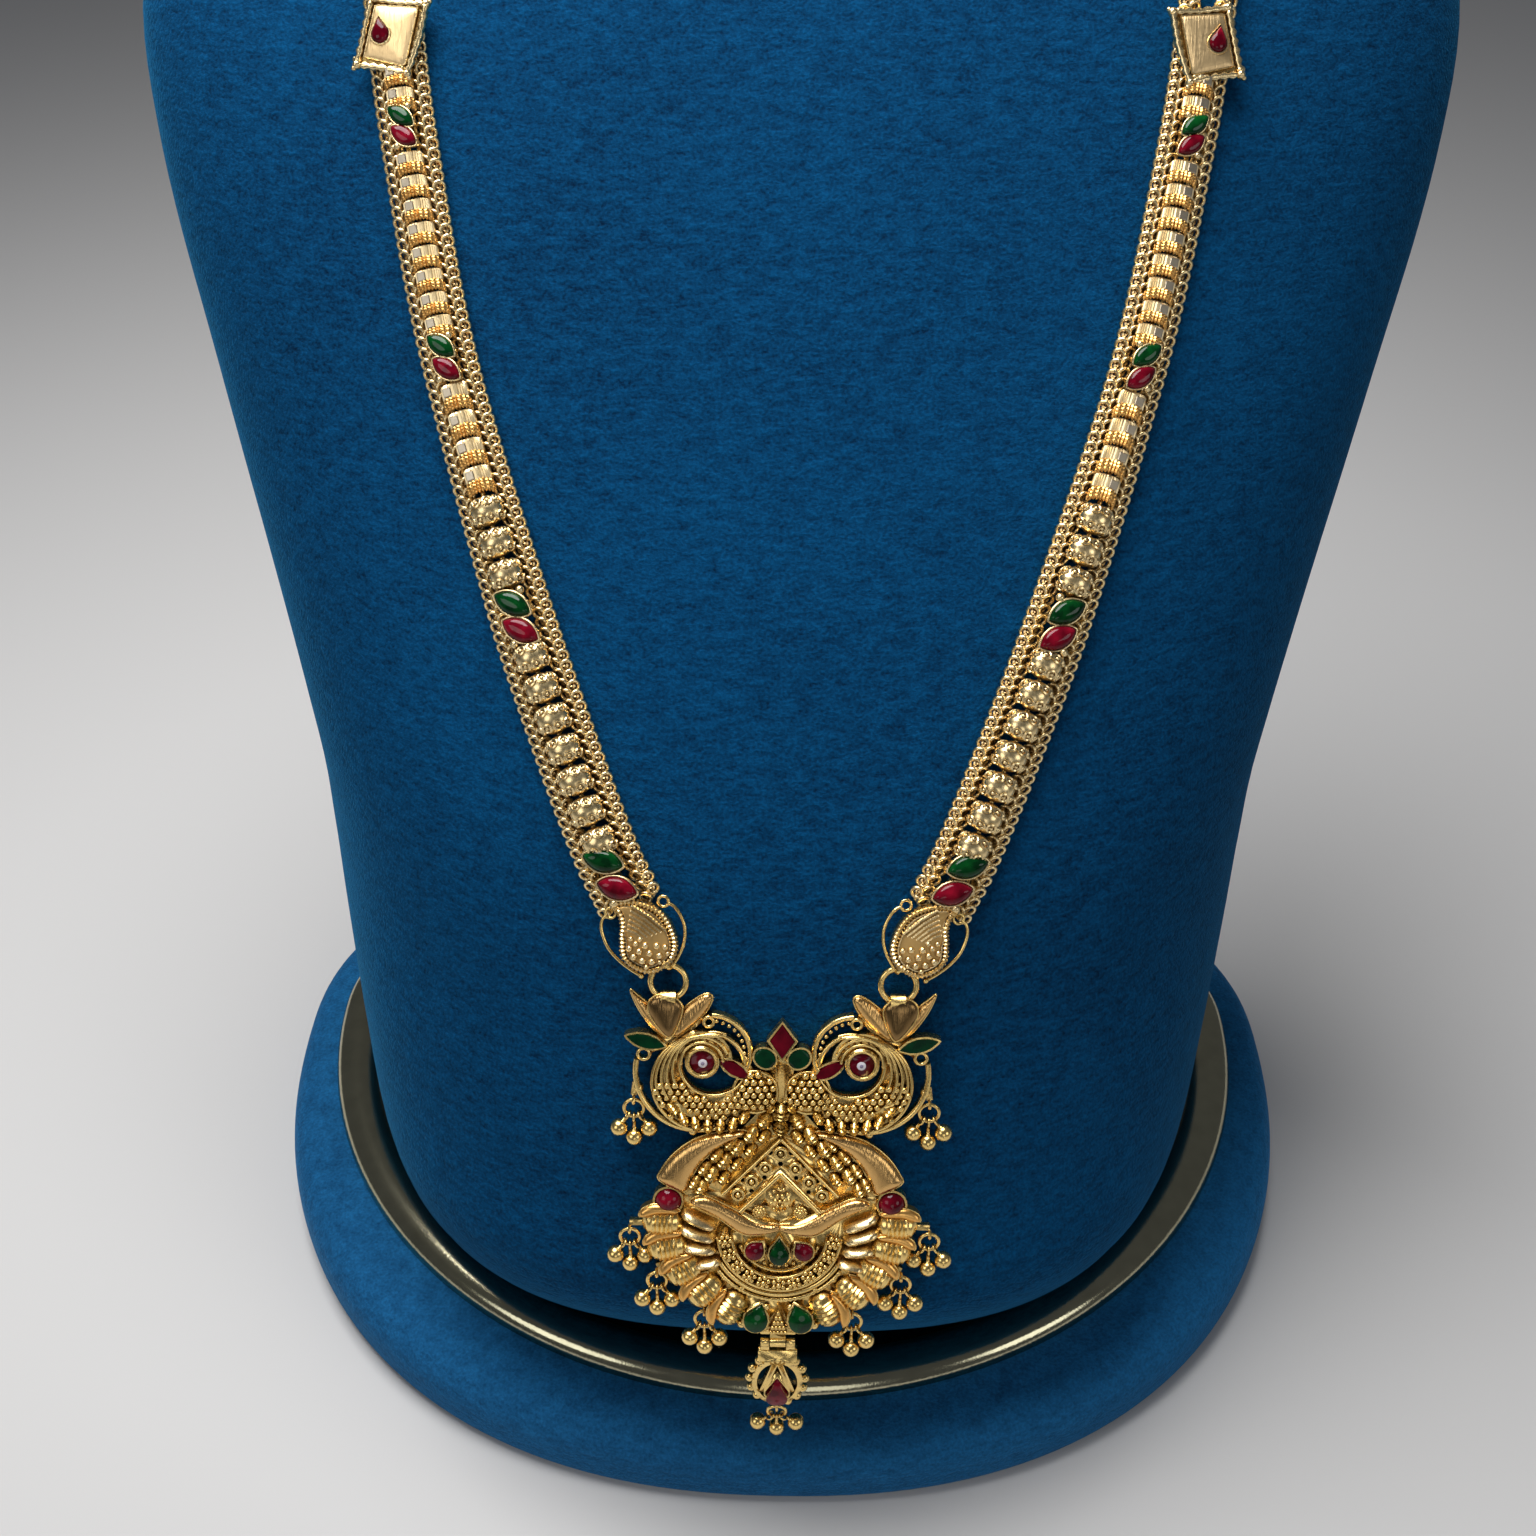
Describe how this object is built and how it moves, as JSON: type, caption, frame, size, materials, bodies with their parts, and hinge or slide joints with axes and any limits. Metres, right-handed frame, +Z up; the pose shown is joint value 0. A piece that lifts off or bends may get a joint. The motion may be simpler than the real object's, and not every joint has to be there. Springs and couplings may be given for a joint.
{
  "type": "long necklace on a neck bust",
  "caption": "Long two-sided bead strap necklace with a double bird pendant, stones and a hinged tail drop, worn by a velvet neck bust on an oval base.",
  "frame": {"origin": "middle of the underside of the oval base", "axes": "+Z up, the front of the bust and the pendant face -Y, +X to the viewer's right"},
  "size_m": [0.2276, 0.1828, 0.3],
  "materials": {
    "pad_velvet": "short velvet pile",
    "base_brass": "polished",
    "bust_velvet": "short velvet pile",
    "gold": "polished and brushed",
    "green_stone": "polished",
    "red_stone": "polished",
    "red_enamel": "glossy enamel",
    "green_enamel": "glossy enamel"
  },
  "bodies": {
    "display": {"base_pad": "pad_velvet", "brass_plate": "base_brass", "bust": "bust_velvet", "chain_left_outer": "gold", "chain_left_inner": "gold", "chain_right_outer": "gold", "chain_right_inner": "gold", "bead_wire_left": "gold", "bead_wire_right": "gold", "beads_left": "gold", "beads_right": "gold", "settings_left": "gold", "settings_right": "gold", "green_stones_left": "green_stone", "green_stones_right": "green_stone", "red_stones_left": "red_stone", "red_stones_right": "red_stone", "star_plate_left": "gold", "star_plate_right": "gold", "star_stone_left": "red_stone", "star_stone_right": "red_stone", "paisley_left": "gold", "paisley_right": "gold", "jump_ring_left": "gold", "jump_ring_right": "gold", "pendant": "gold", "eye_left": "red_enamel", "eye_right": "red_enamel", "beak_left": "red_enamel", "beak_right": "red_enamel", "cup_leaf_left": "green_enamel", "cup_leaf_right": "green_enamel", "crest_leaf_left": "green_enamel", "crest_leaf_right": "green_enamel", "crest_stone": "red_enamel", "cabochon_left": "red_stone", "cabochon_right": "red_stone", "crescent_green": "green_stone", "crescent_red_left": "red_stone", "crescent_red_right": "red_stone", "low_leaf_left": "green_stone", "low_leaf_right": "green_stone", "drop_side_left": "gold", "drop_side_right": "gold", "drop_outer_left": "gold", "drop_outer_right": "gold", "drop_middle_left": "gold", "drop_middle_right": "gold", "drop_inner_left": "gold", "drop_inner_right": "gold", "end_plate_left": "gold", "end_plate_right": "gold", "back_chain_left": "gold", "back_chain_right": "gold", "clasp": "gold"},
    "tail": {"tail_drop": "gold", "tail_stone": "red_stone", "tail_balls": "gold"}
  },
  "joints": [
    {"name": "tail_hinge", "type": "hinge", "parent": "display", "child": "tail", "pos_m": [0, -0.08623, 0.04893], "axis": [1, 0, 0], "range_deg": [-80, 7]}
  ]
}
